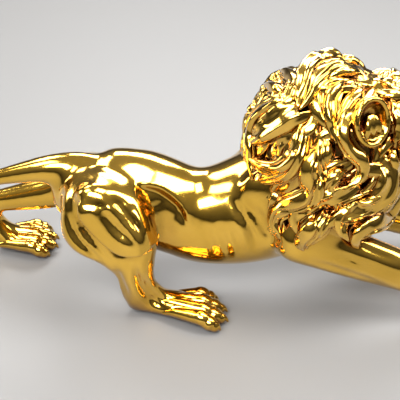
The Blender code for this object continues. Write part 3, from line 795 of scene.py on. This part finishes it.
STROKES = (
    # side, half width, height, then the picture places that the stroke runs through
    (NEAR, 3.4, -4.6, (65, 210), (75, 236), (91, 254), (110, 270)),
    (NEAR, 2.8, -2.8, (74, 210), (85, 233), (101, 253), (117, 270)),
    (NEAR, 4.0, 2.6, (134, 184), (136, 197), (139, 212), (143, 228), (148, 243), (153, 252)),
    (NEAR, 12.0, -4.5, (148, 190), (158, 210), (164, 230), (168, 250)),
    (NEAR, 3.8, -3.8, (96, 200), (104, 214), (119, 231), (139, 247)),
    (NEAR, 3.8, -3.4, (108, 192), (122, 208), (134, 224), (146, 240)),
    (NEAR, 3.4, -6.0, (134, 262), (137, 278), (143, 292), (153, 302), (170, 311)),
    (NEAR, 3.2, -4.6, (143, 272), (149, 288), (159, 298), (174, 305)),
    (NEAR, 4.4, -4.2, (113, 264), (120, 284), (130, 305)),
    (NEAR, 2.6, -2.0, (178, 299), (190, 304), (200, 306)),
    (NEAR, 2.6, -2.0, (174, 307), (187, 313), (198, 315)),
    (NEAR, 2.6, -2.0, (166, 314), (180, 321), (193, 324)),
    (BOTH, 4.6, -1.5, (203, 222), (209, 238), (219, 264)),
    (BOTH, 4.6, -1.7, (217, 221), (223, 238), (233, 264)),
    (BOTH, 4.6, -1.7, (231, 222), (237, 239), (247, 262)),
    (BOTH, 4.6, -1.5, (245, 225), (251, 240), (260, 258)),
    (BOTH, 3.8, -4.2, (229, 196), (239, 212), (251, 231), (264, 250)),
    (BOTH, 3.8, -4.0, (240, 196), (250, 212), (262, 231), (276, 250)),
    (BOTH, 3.8, -3.4, (250, 200), (260, 216), (271, 234), (283, 250)),
    (BOTH, 3.4, -2.0, (298, 256), (330, 267), (365, 279), (400, 291)),
    (BOTH, 2.6, -1.6, (334, 254), (360, 263), (388, 273)),
    (BOTH, 2.6, -1.6, (352, 240), (370, 250), (402, 263)),
)

STEPS = (
    # side, height, fall-off on the high side and on the low side, then the picture places of the edge,
    # with the high side on its left
    (NEAR, 7.5, 15, 6, (83, 197), (78, 205), (81, 216), (92, 230),
     (104, 242), (117, 251), (132, 255), (147, 252), (155, 243)),
    (BOTH, 4.6, 9, 13, (134, 184), (147, 187), (161, 191), (176, 202), (184, 213), (188, 226)),
)


STROKE_ENDS = 3.4  # how steeply a stroke starts and ends
STEP_ENDS = 6.0
STEP_FOOT = 0.8  # how deep a step's low side is, as a share of its height


def carved(mesh):
    """Grooves, ridges and steps pressed into the skin where the camera, or its mirror image, sees them."""
    points, normals = points_of(mesh), normals_of(mesh)
    push = np.zeros(len(points))
    for mirror in (-1, 1):
        seen = points * (1, -mirror, 1)
        facing = (normals * (1, -mirror, 1)) @ EYE_BACK
        on_this_side = np.clip(0.5 - seen[:, 1] / 12, 0, 1)
        weight = np.clip(facing * 3 + 0.3, 0, 1) * on_this_side
        flat = picture_places(seen)
        for side, width, height, *run in STROKES:
            if side in (BOTH, mirror):
                distance, share, _ = along_path(flat, curve_through(run, 6))
                fade = np.clip(np.minimum(share, 1 - share) * STROKE_ENDS, 0, 1) ** 1.3
                push += weight * fade * height * np.exp(-((distance / width) ** 2))
        for side, height, high, low, *run in STEPS:
            if side in (BOTH, mirror):
                distance, share, where = along_path(flat, curve_through(run, 6))
                fade = np.clip(np.minimum(share, 1 - share) * STEP_ENDS, 0, 1)
                slope = np.where(where < 0, np.exp(-distance / high), -STEP_FOOT * np.exp(-distance / low))
                slope *= np.clip(distance / 1.2, 0, 1)
                push += weight * fade * height * slope
    put_points(mesh, points + normals * push[:, None])


def cut_at_ground(mesh):
    """Flat soles: what is below the ground is cut off and the cuts are closed."""
    work = bmesh.new()
    work.from_mesh(mesh)
    ground = {"plane_co": (0, 0, 0), "plane_no": (0, 0, 1)}
    everything = work.verts[:] + work.edges[:] + work.faces[:]
    cut = bmesh.ops.bisect_plane(work, geom=everything, clear_inner=True, **ground)
    edges = [e for e in cut["geom_cut"] if isinstance(e, bmesh.types.BMEdge)]
    bmesh.ops.holes_fill(work, edges=edges, sides=0)
    work.to_mesh(mesh)
    work.free()


def put_in_frame(piece):
    """Scales a finished piece to metres, moves it to the frame's origin and has it stand for the solid."""
    put_points(piece.data, (points_of(piece.data) + SHIFT) * UNIT)
    piece.data.shade_smooth()
    piece.data.materials.clear()
    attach(piece, "root")
    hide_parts("lion")


GOLD_DARK = (0.72, 0.42, 0.042)
GOLD_LIGHT = (0.82, 0.49, 0.065)
# painted shade: the colour that ambient occlusion multiplies into the gold in recesses, between parts and
# near the floor
PAINTED_RECESS_SHADE = (0.30, 0.18, 0.08)
FLOOR_DARK = (0.112, 0.110, 0.107)
FLOOR_LIGHT = (0.133, 0.130, 0.127)
FLOOR_REACH = 6.0  # metres to each side
SKY_LOW = (0.05, 0.048, 0.045)
SKY_HIGH = (0.34, 0.33, 0.31)


def gilding(name, roughness, painted_shade_reach, waves, lacquer):
    """Mirror gold with a faint cloud of casting texture and painted shade: ambient occlusion darkens its
    colour in recesses, between parts and near the floor, out to a given reach.

    roughness is its least and its most, waves the depth of its soft unevenness and lacquer the clear coat.
    """
    material = bpy.data.materials.new(name)
    material.use_nodes = True
    nodes, links = material.node_tree.nodes, material.node_tree.links
    shader = nodes["Principled BSDF"]
    shader.inputs["Metallic"].default_value = 1.0
    shader.inputs["Coat Weight"].default_value = lacquer
    shader.inputs["Coat Roughness"].default_value = 0.08
    geometry = nodes.new("ShaderNodeTexCoord")

    def noise(scale, detail):
        node = nodes.new("ShaderNodeTexNoise")
        node.inputs["Scale"].default_value = scale
        node.inputs["Detail"].default_value = detail
        links.new(geometry.outputs["Object"], node.inputs["Vector"])
        return node.outputs["Fac"]

    def ramp(value, low, high, *colours):
        node = nodes.new("ShaderNodeValToRGB")
        node.color_ramp.elements[0].position = low
        node.color_ramp.elements[1].position = high
        for element, colour in zip(node.color_ramp.elements, colours):
            element.color = (*colour, 1)
        links.new(value, node.inputs["Fac"])
        return node.outputs["Color"]

    cloud = noise(38, 3)
    fine = noise(420, 4)
    # painted shade: ambient occlusion darkens the base colour in recesses, between parts and near the floor
    hollow = nodes.new("ShaderNodeAmbientOcclusion")
    hollow.samples = 8
    hollow.inputs["Distance"].default_value = painted_shade_reach
    painted_shade_mix = nodes.new("ShaderNodeMix")
    painted_shade_mix.data_type = "RGBA"
    painted_shade_mix.blend_type = "MULTIPLY"
    painted_shade_mix.inputs["Factor"].default_value = 1.0
    links.new(ramp(cloud, 0.35, 0.65, GOLD_DARK, GOLD_LIGHT), painted_shade_mix.inputs["A"])
    links.new(ramp(hollow.outputs["AO"], 0.25, 0.9, PAINTED_RECESS_SHADE, (1, 1, 1)), painted_shade_mix.inputs["B"])
    links.new(painted_shade_mix.outputs["Result"], shader.inputs["Base Color"])
    spread = nodes.new("ShaderNodeMapRange")
    spread.inputs["To Min"].default_value = roughness[0]
    spread.inputs["To Max"].default_value = roughness[1]
    links.new(fine, spread.inputs["Value"])
    links.new(spread.outputs["Result"], shader.inputs["Roughness"])
    skin = shader.inputs["Normal"]
    for height, strength, distance in ((fine, 0.03, 0.0004), (noise(45, 1), waves, 0.0009)):
        bump = nodes.new("ShaderNodeBump")
        bump.inputs["Strength"].default_value = strength
        bump.inputs["Distance"].default_value = distance
        links.new(height, bump.inputs["Height"])
        links.new(bump.outputs["Normal"], skin)
        skin = bump.inputs["Normal"]
    return material


def floor():
    """A plain, pale ground with a faint cloud."""
    material = bpy.data.materials.new("studio_floor")
    material.use_nodes = True
    nodes, links = material.node_tree.nodes, material.node_tree.links
    shader = nodes["Principled BSDF"]
    shader.inputs["Roughness"].default_value = 0.55
    cloud = nodes.new("ShaderNodeTexNoise")
    cloud.inputs["Scale"].default_value = 2.5
    ramp = nodes.new("ShaderNodeValToRGB")
    ramp.color_ramp.elements[0].color = (*FLOOR_DARK, 1)
    ramp.color_ramp.elements[1].color = (*FLOOR_LIGHT, 1)
    links.new(cloud.outputs["Fac"], ramp.inputs["Fac"])
    links.new(ramp.outputs["Color"], shader.inputs["Base Color"])
    mesh = bpy.data.meshes.new("studio_floor")
    plane = bmesh.new()
    bmesh.ops.create_grid(plane, x_segments=2, y_segments=2, size=FLOOR_REACH)
    plane.to_mesh(mesh)
    plane.free()
    mesh.materials.append(material)
    stage = bpy.data.objects.new("studio_floor", mesh)
    bpy.context.scene.collection.objects.link(stage)


WINDOW_DISTANCE = 1.3  # metres
WINDOW_AIM = Vector((0, 0, 0.06))


def softbox(name, azimuth, elevation, size, glow):
    """Rectangular light that faces the lion, of one brightness whatever its size.

    Azimuth runs from the camera's side towards the head, in degrees.
    """
    light = bpy.data.lights.new(name, "AREA")
    light.shape = "RECTANGLE"
    light.size, light.size_y = size
    light.energy = glow * math.pi * size[0] * size[1]
    lamp = bpy.data.objects.new(name, light)
    turn, rise = math.radians(azimuth), math.radians(elevation)
    back = Vector((math.sin(turn) * math.cos(rise), -math.cos(turn) * math.cos(rise), math.sin(rise)))
    lamp.location = WINDOW_AIM + back * WINDOW_DISTANCE
    lamp.rotation_euler = back.to_track_quat("Z", "Y").to_euler()
    bpy.context.scene.collection.objects.link(lamp)


WINDOWS = (
    # azimuth, elevation, width and height in metres, brightness
    (-20, 45, 0.95, 0.46, 30),
    (86, 54, 0.50, 0.50, 20),
    (-80, 52, 0.45, 0.50, 13),
    (70, 80, 0.60, 0.50, 16),
    (172, 36, 0.90, 0.36, 18),
    (-138, 42, 0.50, 0.40, 12),
    (-110, 15, 0.30, 0.40, 12),
    (98, 30, 0.50, 0.40, 11),
)


def studio():
    """A soft room, dark near the ground and pale overhead, with the windows around the lion."""
    world = bpy.data.worlds.new("studio")
    world.use_nodes = True
    nodes, links = world.node_tree.nodes, world.node_tree.links
    place = nodes.new("ShaderNodeTexCoord")
    split = nodes.new("ShaderNodeSeparateXYZ")
    ramp = nodes.new("ShaderNodeValToRGB")
    ramp.color_ramp.elements[0].position = 0.02
    ramp.color_ramp.elements[0].color = (*SKY_LOW, 1)
    ramp.color_ramp.elements[1].position = 0.75
    ramp.color_ramp.elements[1].color = (*SKY_HIGH, 1)
    links.new(place.outputs["Generated"], split.inputs["Vector"])
    links.new(split.outputs["Z"], ramp.inputs["Fac"])
    links.new(ramp.outputs["Color"], nodes["Background"].inputs["Color"])
    bpy.context.scene.world = world
    for i, (azimuth, elevation, wide, high, glow) in enumerate(WINDOWS):
        softbox(f"window_{i}", azimuth, elevation, (wide, high), glow)


def camera():
    data = bpy.data.cameras.new("camera")
    data.sensor_fit = "HORIZONTAL"
    data.angle = 2 * math.atan(HALF_PICTURE / PICTURE_SCALE)
    data.clip_start = 0.01
    eye = bpy.data.objects.new("camera", data)
    eye.location = (EYE_TARGET + SHIFT + EYE_BACK * EYE_DISTANCE) * UNIT
    eye.rotation_euler = Vector(EYE_BACK).to_track_quat("Z", "Y").to_euler()
    bpy.context.scene.collection.objects.link(eye)
    bpy.context.scene.camera = eye


def body_piece():
    shell = Shell()
    for part in (torso, tail, near_thigh, near_shank, far_hind_leg):
        part(shell)
    foreleg(shell, -1, 0)
    foreleg(shell, 1, LEFT_STRIDE)
    piece = fused("lion_body", shell, BODY_VOXEL)
    softened(piece.data, BODY_ROUNDS, body_strength(points_of(piece.data)))
    carved(piece.data)
    softened(piece.data, SKIN_ROUNDS, body_strength(points_of(piece.data)))
    cut_at_ground(piece.data)
    return piece


def toes_piece():
    shell = Shell()
    paws(shell)
    piece = object_from("lion_toes", shell)
    cut_at_ground(piece.data)
    return piece


def head_piece():
    shell = Shell()
    head(shell)
    ears(shell)
    piece = fused("lion_head", shell, HEAD_VOXEL)
    softened(piece.data, HEAD_ROUNDS, np.full(len(piece.data.vertices), 0.5))
    return piece


MANE_PIECES = ("lion_mane", "lion_strands", "lion_under_mane")


def mane_pieces():
    top, strands, under = Shell(), Shell(), Shell()
    drawn_locks(top, strands)
    ruff(strands)
    mane_core(under)
    under_locks(under)
    return [object_from(name, shell) for name, shell in zip(MANE_PIECES, (top, strands, under))]


# the painted shade from ambient occlusion reaches 3 cm on the body and 2.8 cm on the mane
gold = gilding("gilding", roughness=(0.07, 0.17), painted_shade_reach=0.03, waves=0.06, lacquer=0.5)
mane_gold = gilding("mane_gilding", roughness=(0.08, 0.18), painted_shade_reach=0.028, waves=0.0, lacquer=0.9)
for piece in (body_piece(), toes_piece(), head_piece(), *mane_pieces()):
    put_in_frame(piece)
    piece.data.materials.append(mane_gold if piece.name in MANE_PIECES else gold)
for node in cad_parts.values():
    node.data.materials.clear()
    node.data.materials.append(gold)
floor()
studio()
camera()

bpy.context.scene.view_settings.view_transform = "Standard"
